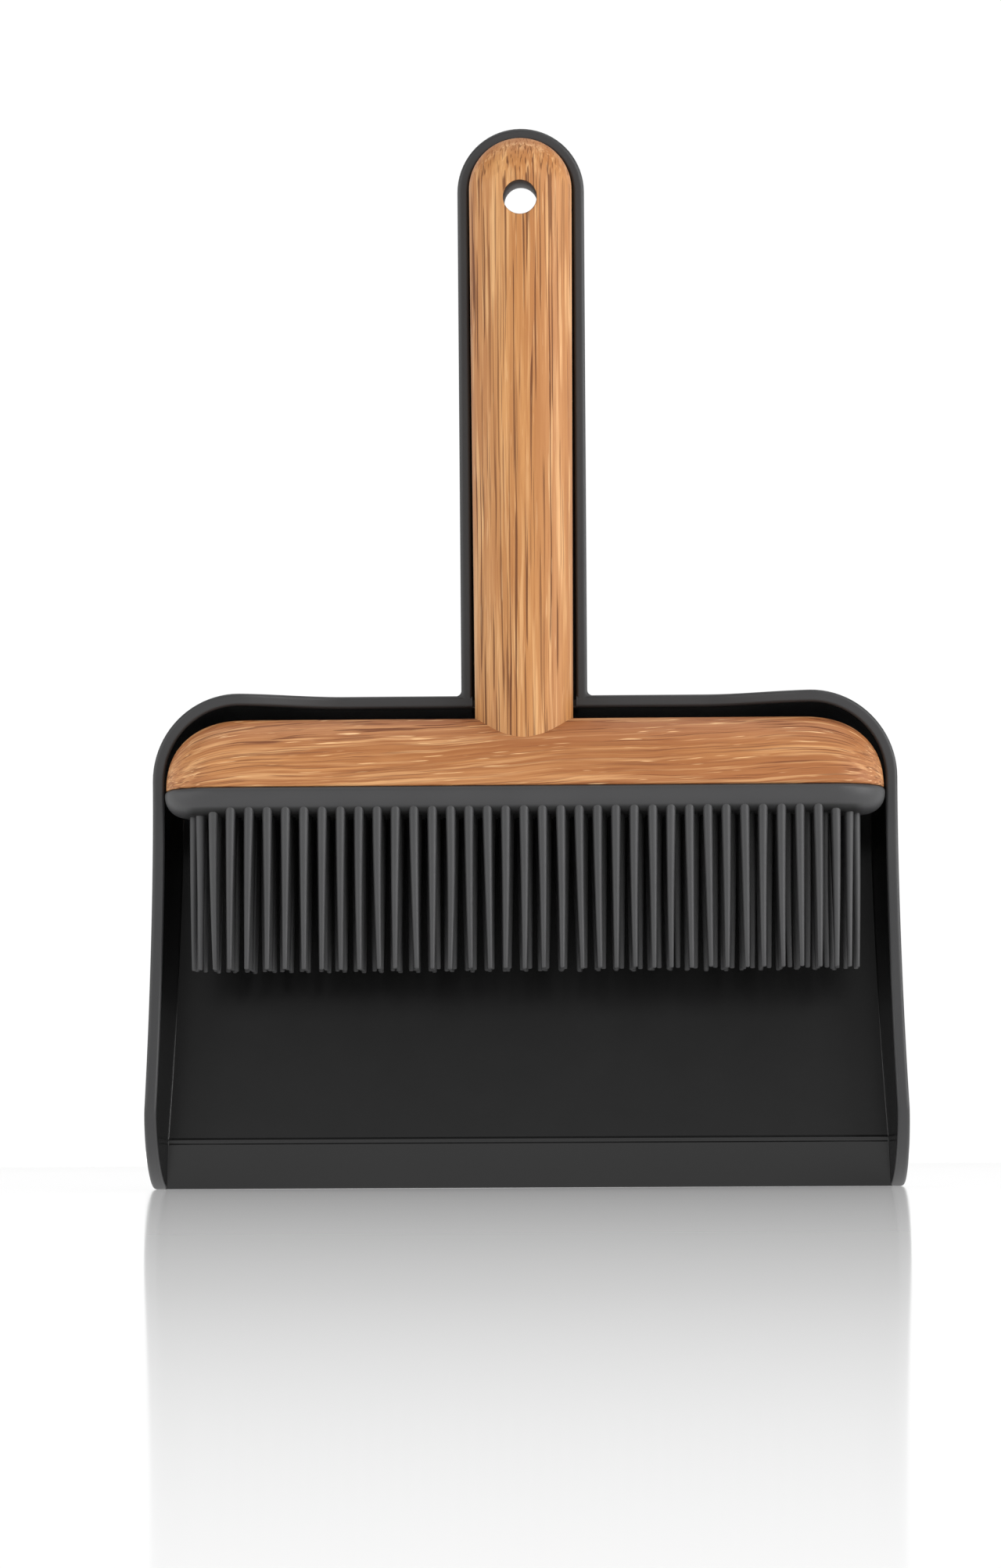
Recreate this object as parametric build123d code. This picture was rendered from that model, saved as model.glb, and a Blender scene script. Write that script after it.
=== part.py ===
from build123d import *
from math import sin, cos, tan, radians, pi, sqrt, ceil
import os

# Dustpan with a hand brush that nests in it. The set stands upright on the pan's lip:
# X across the pan, +Y from the open side towards the pan's floor, +Z up the handle.
# All sizes in millimetres. The rim of the side walls lies in the plane y = 0 while
# modelling; everything is shifted at the end so that the box is centred over the origin.

# ---- scoop ----
HALF_W = 118.9            # half width at the rim, upper part of the side walls
Z_REAR = 158.0            # outside of the rear wall at the rim
R_CORNER = 27.8           # outside corner radius at the rear
FLARE_R = 1900.0          # radius of the outward flare of the side walls
FLARE_Z = 123.0           # height where the flare begins
WALL = 3.85               # wall thickness at the rim
DRAFT_OUT = 1.0           # degrees
DRAFT_IN = 2.0            # degrees
FLOOR_Y0 = 30.8           # depth of the floor's inner face, extended to the lip
FLOOR_SLOPE = 7.0         # degrees, the pan gets deeper towards the rear wall
FLOOR_T = 3.0
RAMP_Z = 15.0             # height of the crease between floor and lip ramp
LIP_Y = 36.6              # inner face of the ramp at the lip
LIP_T = 1.0
NOSE_Z = 25.5             # height where the side wall starts to curve down to the lip
BOTTOM_R = 4.0            # outside edge between walls and floor
RIM_R = 1.1               # rounding of the tray's rim

# ---- tray handle ----
TILT = 7.5                # degrees, handle leans towards the open side
TRAY_W = 40.6
TRAY_END = 162.8          # centre of the round end, along the handle
TRAY_RIM = -7.5           # rim of the tray, from the brush handle's mid plane
TRAY_FLOOR = -11.3        # inside floor of the tray
TRAY_BACK = -14.1         # underside of the tray
CHANNEL_W = 33.4
EAR = 3.0                 # rear corners of the rim, above the brush handle's mid plane
DIP_IN, DIP_OUT = 58.0, 94.0   # the rear rim dips between these distances from the middle

# ---- brush ----
HEAD_Z0 = 126.9           # underside of the wooden head
HEAD_H = 22.7
HEAD_HALF_L = 114.4
HEAD_HALF_T = 16.0
HEAD_END_A = 26.0         # length of the rounded end of the head
HANDLE_CROWN = 12.3       # height of the crowned front above the mid plane
HANDLE_BACK = -11.0       # flat back of the handle
HANDLE_W_TOP, HANDLE_W_LOW = 32.6, 31.2
HANDLE_EDGE_R = 6.0       # rounding of the back edges
HOLE_S = 159.4            # hanging hole, along the handle
HOLE_R = 5.3
PAD_HALF_L = 114.8
PAD_HALF_T = 16.6
PAD_H = 8.6
PAD_R = 6.6               # rounding of the pad's lower edge
PAD_TOP_R = 1.6
PLATE_HALF_L, PLATE_HALF_T, PLATE_T = 110.0, 12.0, 3.0
TIP_Z = 69.0
BR_ROOT_R, BR_TIP_R = 1.6, 0.8
BR_PITCH = 5.8
BR_RINGS = (13.4, 6.7, 0.0)   # radii of the bristle rings' round ends
BR_STRAIGHT = 92.0        # half length of the rings' straight part
SCREW_X = (-84.0, -30.0, 30.0, 84.0)
SCREW_R, SCREW_HEAD_R, SCREW_L = 1.75, 3.5, 15.0
DOWEL_X = (-8.0, 8.0)
DOWEL_R, DOWEL_L = 4.0, 30.0
GAP = 0.05                # assembly gap round dowels and screws

c8, s8 = cos(radians(TILT)), sin(radians(TILT))
H0 = Vector(0, 0, 155.0)                 # foot of the handle axis
AX = Vector(0, -s8, c8)                  # along the handle, upwards
NV = Vector(0, -c8, -s8)                 # out of the tray


def at(s, n, x=0.0):
    return H0 + AX * s + NV * n + Vector(x, 0, 0)


def tray_plane(n):
    return Plane(origin=at(0, n), x_dir=(1, 0, 0), z_dir=NV)


def outline(y, off, top_extra=0.0):
    """Scoop outline in the plane at depth y, moved inwards by off, open end at z = -10."""
    w = HALF_W - off
    r = R_CORNER - off
    rf = FLARE_R + off
    cx = w + rf
    dz = FLARE_Z + 10.0

    def flare(z):
        return cx - sqrt(rf * rf - (FLARE_Z - z) ** 2)

    zc = Z_REAR - R_CORNER
    zt = Z_REAR - off
    xc = HALF_W - R_CORNER
    pl = Plane(origin=(0, y, 0), x_dir=(1, 0, 0), z_dir=(0, -1, 0))
    k = r * sqrt(0.5)
    with BuildSketch(pl) as sk:
        with BuildLine():
            Line((-flare(-10), -10), (flare(-10), -10))
            ThreePointArc((flare(-10), -10), (flare(FLARE_Z - dz / 2), FLARE_Z - dz / 2), (w, FLARE_Z))
            Line((w, FLARE_Z), (w, zc))
            ThreePointArc((w, zc), (xc + k, zc + k), (xc, zt))
            Line((xc, zt), (-xc, zt))
            ThreePointArc((-xc, zt), (-xc - k, zc + k), (-w, zc))
            Line((-w, zc), (-w, FLARE_Z))
            ThreePointArc((-w, FLARE_Z), (-flare(FLARE_Z - dz / 2), FLARE_Z - dz / 2), (-flare(-10), -10))
        make_face()
    return sk.sketch


def drafted(off, draft):
    deep, near = 66.0, -26.0
    t = tan(radians(draft))
    return loft([outline(deep, off + t * deep), outline(near, off + t * near)], ruled=True)


ft = tan(radians(FLOOR_SLOPE))


def floor_y(z):
    return FLOOR_Y0 + ft * z


def prism_yz(build, half=160.0):
    with BuildSketch(Plane.YZ) as sk:
        with BuildLine():
            build()
        make_face()
    return extrude(sk.sketch, amount=half, both=True)


def nose(u):
    return (LIP_Y * (1 - (1 - u ** 1.5) ** (1 / 1.5)), NOSE_Z * (1 - u))


def ear_y(z):
    p = H0 + NV * EAR
    return p.Y - (z - p.Z) * tan(radians(TILT))


def keep_profile():
    pts = [nose(u) for u in (1.0, 0.97, 0.92, 0.84, 0.73, 0.6, 0.45, 0.3, 0.15, 0.0)]
    Spline(*pts, tangents=((-1, 0), (0, 1)))
    Line((0, NOSE_Z), (0, 70))
    Spline((0, 70), (ear_y(150), 150), tangents=((0, 1), (-s8, c8)))
    Polyline((ear_y(150), 150), (ear_y(180), 180), (floor_y(180) + FLOOR_T, 180),
             (floor_y(RAMP_Z) + FLOOR_T, RAMP_Z), (LIP_Y + LIP_T, 0), (LIP_Y, 0))


def cavity_profile():
    slope = (LIP_Y - floor_y(RAMP_Z)) / RAMP_Z
    Polyline((-60, -20), (LIP_Y + 20 * slope, -20), (floor_y(RAMP_Z), RAMP_Z),
             (floor_y(180), 180), (-60, 180), (-60, -20))


def below_profile():
    """Everything in front of the pan's underside."""
    Polyline((-60, 0), (LIP_Y + LIP_T, 0), (floor_y(RAMP_Z) + FLOOR_T, RAMP_Z),
             (floor_y(190) + FLOOR_T, 190), (-60, 190), (-60, 0))


# ---------------------------------------------------------------- pan
outer = drafted(0.0, DRAFT_OUT)
scoop = outer & prism_yz(below_profile)
under = [e for e in scoop.edges()
         if e.length > 20 and e.center().Z > RAMP_Z - 1
         and abs(e.center().Y - floor_y(e.center().Z) - FLOOR_T) < 0.6
         and not (e.center().Z < RAMP_Z + 0.5)]
scoop = fillet(under, BOTTOM_R)
scoop = scoop & prism_yz(keep_profile)
scoop = scoop - (drafted(WALL, DRAFT_IN) & prism_yz(cavity_profile))

dip_plane = Plane(origin=at(-12, 0), x_dir=(1, 0, 0), z_dir=AX)   # local y is -n
with BuildSketch(dip_plane) as dip:
    with BuildLine():
        Spline((-DIP_OUT, -EAR), (-DIP_IN, -TRAY_RIM), tangents=((1, 0), (1, 0)))
        Line((-DIP_IN, -TRAY_RIM), (DIP_IN, -TRAY_RIM))
        Spline((DIP_IN, -TRAY_RIM), (DIP_OUT, -EAR), tangents=((1, 0), (1, 0)))
        Polyline((DIP_OUT, -EAR), (DIP_OUT, -60), (-DIP_OUT, -60), (-DIP_OUT, -EAR))
    make_face()
scoop = scoop - extrude(dip.sketch, amount=30)


def slot_sketch(n, half_w, s0, s1):
    with BuildSketch(tray_plane(n)) as sk:
        with BuildLine():
            Line((-half_w, s0), (half_w, s0))
            Line((half_w, s0), (half_w, s1))
            ThreePointArc((half_w, s1), (0, s1 + half_w), (-half_w, s1))
            Line((-half_w, s1), (-half_w, s0))
        make_face()
    return sk.sketch


tray = extrude(slot_sketch(TRAY_BACK, TRAY_W / 2, 0.4, TRAY_END), amount=TRAY_RIM - TRAY_BACK)
back_edges = [e for e in tray.edges()
              if abs((e.center() - H0).dot(NV) - TRAY_BACK) < 0.05 and e.length > 50]
tray = fillet(back_edges, 2.6)
shell = scoop + tray
shell = shell - extrude(slot_sketch(TRAY_FLOOR, CHANNEL_W / 2, -14.0, TRAY_END), amount=40)
hole = Plane(origin=at(HOLE_S, -30), x_dir=(1, 0, 0), z_dir=NV) * Pos(0, 0, 0) * Cylinder(
    HOLE_R, 60, align=(Align.CENTER, Align.CENTER, Align.MIN))
shell = shell - hole
tray_rim = [e for e in shell.edges()
            if abs((e @ 0.5 - H0).dot(NV) - TRAY_RIM) < 0.05 and (e @ 0.5 - H0).dot(AX) > 20 and e.length > 40]
shell = fillet(tray_rim, RIM_R)

# ---------------------------------------------------------------- brush head
EXP = 2.3                 # fullness of the head's rounded ends
x0 = HEAD_HALF_L - HEAD_END_A


def head_profile():
    us = (0.0, 0.15, 0.3, 0.45, 0.6, 0.75, 0.87, 0.95, 1.0)
    right = [(HEAD_HALF_L - HEAD_END_A + HEAD_END_A * (1 - u ** EXP) ** (1 / EXP), HEAD_Z0 + HEAD_H * u) for u in us]
    Spline(*right, tangents=((0, 1), (-1, 0)))
    Line((x0, HEAD_Z0 + HEAD_H), (-x0, HEAD_Z0 + HEAD_H))
    Spline(*[(-x, z) for x, z in reversed(right)], tangents=((-1, 0), (0, -1)))
    Line((-HEAD_HALF_L, HEAD_Z0), (HEAD_HALF_L, HEAD_Z0))


def slot_plan(z, half_l, half_t):
    with BuildSketch(Plane.XY.offset(z)) as sk:
        SlotOverall(2 * half_l, 2 * half_t)
    return sk.sketch


with BuildSketch(Plane.XZ) as front:
    with BuildLine():
        head_profile()
    make_face()
front_prism = extrude(front.sketch, amount=30, both=True)
with BuildSketch(Plane.YZ) as section:
    with Locations((0, HEAD_Z0)):
        Ellipse(HEAD_HALF_T, HEAD_H - 0.05)
dome = extrude(section.sketch, amount=140, both=True)
head_plan = extrude(slot_plan(HEAD_Z0 - 1, HEAD_HALF_L + 0.02, HEAD_HALF_T + 0.5), amount=HEAD_H + 3)
head_blank = (front_prism & dome) & head_plan

# ---------------------------------------------------------------- brush handle
LOW_S = -15.0


def grip_section(plane, w):
    """Crowned front, straight sides, flat back with rounded edges. Local x is across, local y is out of the tray."""
    e = HANDLE_EDGE_R
    k = e * sqrt(0.5)
    back = HANDLE_BACK
    with BuildSketch(plane) as sk:
        with BuildLine():
            EllipticalCenterArc((0, 0), w, HANDLE_CROWN, start_angle=0, arc_size=180)
            Line((-w, 0), (-w, back + e))
            ThreePointArc((-w, back + e), (-w + e - k, back + e - k), (-w + e, back))
            Line((-w + e, back), (w - e, back))
            ThreePointArc((w - e, back), (w - e + k, back + e - k), (w, back + e))
            Line((w, back + e), (w, 0))
        make_face()
    return sk.sketch


def across(s):
    return Plane(origin=at(s, 0), x_dir=(-1, 0, 0), z_dir=AX)      # local y is n


wt, wl = HANDLE_W_TOP / 2, HANDLE_W_LOW / 2
shaft = loft([grip_section(across(LOW_S), wl), grip_section(across(TRAY_END), wt)], ruled=True)
half_cut = across(TRAY_END)
with BuildSketch(half_cut) as hs:
    add(grip_section(Plane.XY, wt))
    with Locations((50, 0)):
        Rectangle(100, 100, mode=Mode.SUBTRACT)
end = revolve(hs.sketch, axis=Axis(at(TRAY_END, 0), NV), revolution_arc=180)
if end.bounding_box().max.Z < at(TRAY_END + 10, 0).Z:
    end = revolve(hs.sketch, axis=Axis(at(TRAY_END, 0), NV * -1), revolution_arc=180)
handle = shaft + end
handle = handle - head_blank
handle = max(handle.solids(), key=lambda q: q.volume)


def bore(s0, n, x, r, length):
    return Plane(origin=at(s0, n, x), x_dir=(1, 0, 0), z_dir=AX) * Cylinder(
        r, length, align=(Align.CENTER, Align.CENTER, Align.MIN))


dowel_s0 = -19.0
dowels = Compound([bore(dowel_s0, 0, x, DOWEL_R, DOWEL_L).solid() for x in DOWEL_X])
for x in DOWEL_X:
    handle = handle - bore(dowel_s0 - 0.5, 0, x, DOWEL_R + GAP, DOWEL_L + 1)
    head_blank = head_blank - bore(dowel_s0 - 0.5, 0, x, DOWEL_R + GAP, DOWEL_L + 1)
handle = handle - hole

# ---------------------------------------------------------------- plate and screws
plate_z = HEAD_Z0 - PLATE_T
plate = extrude(slot_plan(plate_z, PLATE_HALF_L, PLATE_HALF_T), amount=PLATE_T)
screw_list = []
csk = SCREW_HEAD_R - SCREW_R
for x in SCREW_X:
    base = Pos(x, 0, plate_z)
    cone = base * Cone(SCREW_HEAD_R, SCREW_R, csk, align=(Align.CENTER, Align.CENTER, Align.MIN))
    shank = base * Cylinder(SCREW_R, SCREW_L - 2, align=(Align.CENTER, Align.CENTER, Align.MIN))
    point = Pos(x, 0, plate_z + SCREW_L - 2) * Cone(SCREW_R, 0.3, 2, align=(Align.CENTER, Align.CENTER, Align.MIN))
    cross = base * (Box(3.6, 0.9, 2.4) + Box(0.9, 3.6, 2.4))
    screw = (cone + shank + point) - cross
    screw_list.append(screw.solid())
    seat = base * Cone(SCREW_HEAD_R + GAP, SCREW_R + GAP, csk, align=(Align.CENTER, Align.CENTER, Align.MIN))
    clear = base * Cylinder(SCREW_R + GAP, SCREW_L + 0.5, align=(Align.CENTER, Align.CENTER, Align.MIN))
    plate = plate - seat - clear
    head_blank = head_blank - clear
screws = Compound(screw_list)

# ---------------------------------------------------------------- silicone pad and bristles
pad = extrude(slot_plan(HEAD_Z0 - PAD_H, PAD_HALF_L, PAD_HALF_T), amount=PAD_H)
low = [e for e in pad.edges() if abs((e @ 0.5).Z - (HEAD_Z0 - PAD_H)) < 0.01]
top = [e for e in pad.edges() if abs((e @ 0.5).Z - HEAD_Z0) < 0.01]
pad = fillet(low, PAD_R)
top = [e for e in pad.edges() if abs((e @ 0.5).Z - HEAD_Z0) < 0.01]
pad = fillet(top, PAD_TOP_R)
pad = pad - extrude(slot_plan(plate_z, PLATE_HALF_L, PLATE_HALF_T), amount=PLATE_T)


def ring_points(r, half):
    if r < 0.01:
        n = 2 * int(round(half / BR_PITCH))
        return [(-half + 2 * half * i / n, 0.0) for i in range(n + 1)]
    total = 4 * half + 2 * pi * r
    n = 2 * int(round(total / BR_PITCH / 2))
    pts = []
    for i in range(n):
        d = (i + 0.5) * total / n - pi * r / 2      # starts at the middle of the right end
        if d < -pi * r / 2 + pi * r:
            a = (d + pi * r / 2) / r - pi / 2
            pts.append((half + r * cos(a), r * sin(a)))
        elif d < pi * r / 2 + 2 * half:
            pts.append((half - (d - pi * r / 2), r))
        elif d < 3 * pi * r / 2 + 2 * half:
            a = pi / 2 + (d - pi * r / 2 - 2 * half) / r
            pts.append((-half + r * cos(a), r * sin(a)))
        else:
            pts.append((-half + (d - 3 * pi * r / 2 - 2 * half), -r))
    return pts


root_z = HEAD_Z0 - PAD_H + 2.2
slope = (BR_ROOT_R - BR_TIP_R) / (HEAD_Z0 - PAD_H - TIP_Z)
bristles = []
for r in BR_RINGS:
    for bx, by in ring_points(r, BR_STRAIGHT):
        bristles.append((Pos(bx, by, TIP_Z) * Cone(
            BR_TIP_R, BR_TIP_R + slope * (root_z - TIP_Z), root_z - TIP_Z,
            align=(Align.CENTER, Align.CENTER, Align.MIN))).solid())
pad_solid = pad.solid()
silicone = pad_solid.fuse(*bristles)
if isinstance(silicone, ShapeList):
    silicone = max(silicone, key=lambda q: q.volume)

# ---------------------------------------------------------------- place and write
nodes = {
    "dustpan_shell": shell,
    "oak_handle": handle,
    "oak_head": head_blank,
    "handle_dowels": dowels,
    "bristle_base_plate": plate,
    "base_plate_screws": screws,
    "silicone_bristle_pad": silicone,
}
boxes = [s.bounding_box(optimal=True) for s in (shell, handle, head_blank, silicone)]
y_lo, y_hi = min(b.min.Y for b in boxes), max(b.max.Y for b in boxes)
SHIFT = round(-(y_lo + y_hi) / 2, 3)

os.makedirs("parts", exist_ok=True)
for name, shape in nodes.items():
    placed = Pos(0, SHIFT, 0) * shape
    export_step(placed, "parts/%s.step" % name)
    b = placed.bounding_box(optimal=True)
    print(name, "solids", len(placed.solids()), "volume", round(shape.volume), "valid", shape.is_valid,
          [round(v, 2) for v in (b.min.X, b.min.Y, b.min.Z, b.max.X, b.max.Y, b.max.Z)])
print("shift in Y", SHIFT, "bristles", len(bristles))
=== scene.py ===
import bpy, bmesh, random
from math import sin, cos, tan, radians, pi, sqrt, asin, atan2, degrees
from mathutils import Vector, Matrix
from mathutils.geometry import tessellate_polygon, delaunay_2d_cdt


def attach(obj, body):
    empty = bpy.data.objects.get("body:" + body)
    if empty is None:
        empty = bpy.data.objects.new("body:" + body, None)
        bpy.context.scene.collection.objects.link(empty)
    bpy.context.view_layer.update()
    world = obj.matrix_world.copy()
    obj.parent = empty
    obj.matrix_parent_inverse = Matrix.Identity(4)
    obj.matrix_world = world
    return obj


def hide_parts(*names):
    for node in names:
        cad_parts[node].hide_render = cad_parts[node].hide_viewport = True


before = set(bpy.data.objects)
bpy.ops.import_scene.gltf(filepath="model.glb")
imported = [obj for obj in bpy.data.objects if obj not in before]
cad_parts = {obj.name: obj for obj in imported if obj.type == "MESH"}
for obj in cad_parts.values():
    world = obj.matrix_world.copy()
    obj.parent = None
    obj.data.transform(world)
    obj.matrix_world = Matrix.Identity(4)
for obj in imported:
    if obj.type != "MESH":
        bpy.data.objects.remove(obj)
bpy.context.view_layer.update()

# ------------------------------------------------------------------ the part's dimensions, in mm
HALF_W, Z_REAR, R_CORNER, FLARE_R, FLARE_Z, WALL = 118.9, 158.0, 27.8, 1900.0, 123.0, 3.85
T_OUT, T_IN = tan(radians(1.0)), tan(radians(2.0))
FLOOR_Y0, T_FLOOR, FLOOR_T, RAMP_Z, LIP_Y, LIP_T, NOSE_Z = 30.8, tan(radians(7.0)), 3.0, 15.0, 36.6, 1.0, 25.5
TILT = radians(7.5)
TRAY_W, TRAY_END, TRAY_RIM, TRAY_FLOOR, TRAY_BACK, CHANNEL_W = 40.6, 162.8, -7.5, -11.3, -14.1, 33.4
EAR, DIP_IN, DIP_OUT = 3.0, 58.0, 94.0
HEAD_Z0, HEAD_H, HEAD_L, HEAD_T, HEAD_END = 126.9, 22.65, 114.4, 16.0, 26.0
CROWN, BACK, HANDLE_WT, HANDLE_WL, LOW_S, EDGE_R, HOLE_S, HOLE_R = 12.3, -11.0, 16.3, 15.6, -15.0, 6.0, 159.4, 5.3
PAD_L, PAD_T, PAD_H, PAD_R, PAD_TOP_R = 114.8, 16.6, 8.6, 6.6, 1.6
TIP_Z, ROOT_R, TIP_R, PITCH, RINGS, STRAIGHT = 69.0, 1.6, 0.78, 5.8, (13.4, 6.7, 0.0), 92.0
SHIFT = -9.473
c7, s7, t7 = cos(TILT), sin(TILT), tan(TILT)


def P(x, y, z):
    return Vector((x, y + SHIFT, z)) * 0.001


def at(s, n, x=0.0):
    return P(x, -s7 * s - c7 * n, 155 + c7 * s - s7 * n)


def lerp(a, b, t):
    return a + (b - a) * t


def ease(t):
    t = min(1.0, max(0.0, t))
    return t * t * (3 - 2 * t)


# ------------------------------------------------------------------ mesh helpers
class Island:
    """One closed surface, gathered ring by ring."""

    def __init__(self):
        self.v, self.f, self.m = [], [], []

    def ring(self, pts):
        i = len(self.v)
        self.v += pts
        return list(range(i, i + len(pts)))

    def strip(self, a, b, mat=0, closed=True):
        n = len(a)
        for i in range(n if closed else n - 1):
            j = (i + 1) % n
            self.f.append((a[i], a[j], b[j], b[i]))
            self.m.append(mat[i] if isinstance(mat, (list, tuple)) else mat)

    def face(self, idx, mat=0):
        self.f.append(tuple(idx))
        self.m.append(mat)

    def fill(self, loops, mat=0):
        """A flat face with holes."""
        flat = [i for lp in loops for i in lp]
        for tri in tessellate_polygon([[self.v[i] for i in lp] for lp in loops]):
            self.f.append(tuple(flat[k] for k in tri))
            self.m.append(mat)


def make(name, islands, mats, sharp=32.0):
    bm = bmesh.new()
    for isl in islands:
        one = bmesh.new()
        vs = [one.verts.new(p) for p in isl.v]
        for f, m in zip(isl.f, isl.m):
            try:
                nf = one.faces.new([vs[i] for i in f])
            except ValueError:
                continue
            nf.material_index = m
            nf.smooth = True
        bmesh.ops.remove_doubles(one, verts=one.verts, dist=2e-6)
        bmesh.ops.dissolve_degenerate(one, edges=one.edges, dist=1e-6)
        loose = [v for v in one.verts if not v.link_faces]
        bmesh.ops.delete(one, geom=loose, context="VERTS")
        bmesh.ops.recalc_face_normals(one, faces=one.faces)
        tmp = bpy.data.meshes.new("tmp")
        one.to_mesh(tmp)
        one.free()
        bm.from_mesh(tmp)
        bpy.data.meshes.remove(tmp)
    me = bpy.data.meshes.new(name)
    bm.to_mesh(me)
    bm.free()
    for m in mats:
        me.materials.append(m)
    me.set_sharp_from_angle(angle=radians(sharp))
    ob = bpy.data.objects.new(name, me)
    bpy.context.scene.collection.objects.link(ob)
    return ob


def arc(r, n, a0, a1):
    return [(r * cos(radians(lerp(a0, a1, i / n))), r * sin(radians(lerp(a0, a1, i / n)))) for i in range(n + 1)]


# ------------------------------------------------------------------ node material helpers
class Mat:
    def __init__(self, name):
        self.m = bpy.data.materials.new(name)
        self.m.use_nodes = True
        self.t = self.m.node_tree
        self.bsdf = self.t.nodes["Principled BSDF"]
        self.tc = self.t.nodes.new("ShaderNodeTexCoord")

    def n(self, kind, **kw):
        nd = self.t.nodes.new(kind)
        for k, v in kw.items():
            setattr(nd, k, v)
        return nd

    def link(self, a, b):
        self.t.links.new(a, b)

    def val(self, sock, v):
        if hasattr(v, "is_output"):
            self.link(v, sock)
        else:
            sock.default_value = v

    def mapping(self, scale, rot=(0, 0, 0), loc=(0, 0, 0), src=None):
        mp = self.n("ShaderNodeMapping")
        mp.inputs["Scale"].default_value = scale
        mp.inputs["Rotation"].default_value = rot
        mp.inputs["Location"].default_value = loc
        self.link(src or self.tc.outputs["Object"], mp.inputs["Vector"])
        return mp.outputs["Vector"]

    def warp(self, vec, scale, amount, detail=2.0):
        """The vector pushed about by a slow noise."""
        nz = self.n("ShaderNodeTexNoise")
        nz.inputs["Scale"].default_value = 1.0
        nz.inputs["Detail"].default_value = detail
        self.link(self.mapping(scale, src=vec), nz.inputs["Vector"])
        vm = self.n("ShaderNodeVectorMath", operation="MULTIPLY_ADD")
        self.link(nz.outputs["Color"], vm.inputs[0])
        vm.inputs[1].default_value = amount
        self.link(vec, vm.inputs[2])
        return vm.outputs[0]

    def noise(self, vec, scale=1.0, detail=2.0, rough=0.5, dist=0.0):
        nz = self.n("ShaderNodeTexNoise")
        nz.inputs["Scale"].default_value = scale
        nz.inputs["Detail"].default_value = detail
        nz.inputs["Roughness"].default_value = rough
        nz.inputs["Distortion"].default_value = dist
        self.link(vec, nz.inputs["Vector"])
        return nz.outputs["Fac"]

    def ramp(self, fac, stops):
        r = self.n("ShaderNodeValToRGB")
        el = r.color_ramp.elements
        while len(el) < len(stops):
            el.new(0.5)
        for e, (p, c) in zip(el, stops):
            e.position = p
            e.color = (c, c, c, 1) if isinstance(c, (int, float)) else (*c, 1)
        self.link(fac, r.inputs["Fac"])
        return r.outputs["Color"]

    def mix(self, fac, a, b, kind="MIX"):
        mx = self.n("ShaderNodeMix", data_type="RGBA", blend_type=kind)
        self.val(mx.inputs[0], fac)
        for sock, v in ((mx.inputs[6], a), (mx.inputs[7], b)):
            if hasattr(v, "is_output"):
                self.link(v, sock)
            else:
                sock.default_value = (*v, 1)
        return mx.outputs[2]

    def math(self, op, a, b=0.0, c=None, clamp=False):
        mt = self.n("ShaderNodeMath", operation=op, use_clamp=clamp)
        self.val(mt.inputs[0], a)
        self.val(mt.inputs[1], b)
        if c is not None:
            self.val(mt.inputs[2], c)
        return mt.outputs[0]

    def bump(self, height, dist, strength=1.0, normal=None):
        b = self.n("ShaderNodeBump")
        b.inputs["Strength"].default_value = strength
        b.inputs["Distance"].default_value = dist
        self.link(height, b.inputs["Height"])
        if normal is not None:
            self.link(normal, b.inputs["Normal"])
        return b.outputs["Normal"]

    def set(self, **kw):
        for k, v in kw.items():
            self.val(self.bsdf.inputs[k.replace("_", " ")], v)


def srgb(r, g, b):
    f = lambda c: c / 12.92 if c <= 0.04045 else ((c + 0.055) / 1.055) ** 2.4
    return (f(r / 255), f(g / 255), f(b / 255))


def satin_plastic(name, lo, hi, rough, grain):
    m = Mat(name)
    big = m.noise(m.mapping((1, 1, 1)), scale=26.0, detail=3.0, rough=0.55)
    m.set(Base_Color=m.ramp(big, [(0.3, lo), (0.7, hi)]))
    fine = m.noise(m.mapping((1, 1, 1)), scale=2600.0, detail=2.0, rough=0.6)
    m.set(Roughness=m.math("MULTIPLY_ADD", fine, 0.10, rough - 0.05))
    m.set(Normal=m.bump(fine, grain))
    return m


# ------------------------------------------------------------------ materials
plastic = satin_plastic("pan_satin", srgb(41, 41, 42), srgb(45, 45, 46), 0.46, 0.00003)
gloss = Mat("pan_gloss")
gl_big = gloss.noise(gloss.mapping((1, 1, 1)), scale=18.0, detail=2.0)
gloss.set(Base_Color=gloss.ramp(gl_big, [(0.3, srgb(10, 10, 10)), (0.7, srgb(13, 13, 13))]))
gl_f = gloss.noise(gloss.mapping((1, 1, 1)), scale=90.0, detail=3.0)
gloss.set(Roughness=gloss.math("MULTIPLY_ADD", gl_f, 0.06, 0.19))
gloss.set(Normal=gloss.bump(gloss.noise(gloss.mapping((1, 1, 1)), scale=60.0, detail=1.0), 0.00002))


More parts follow.
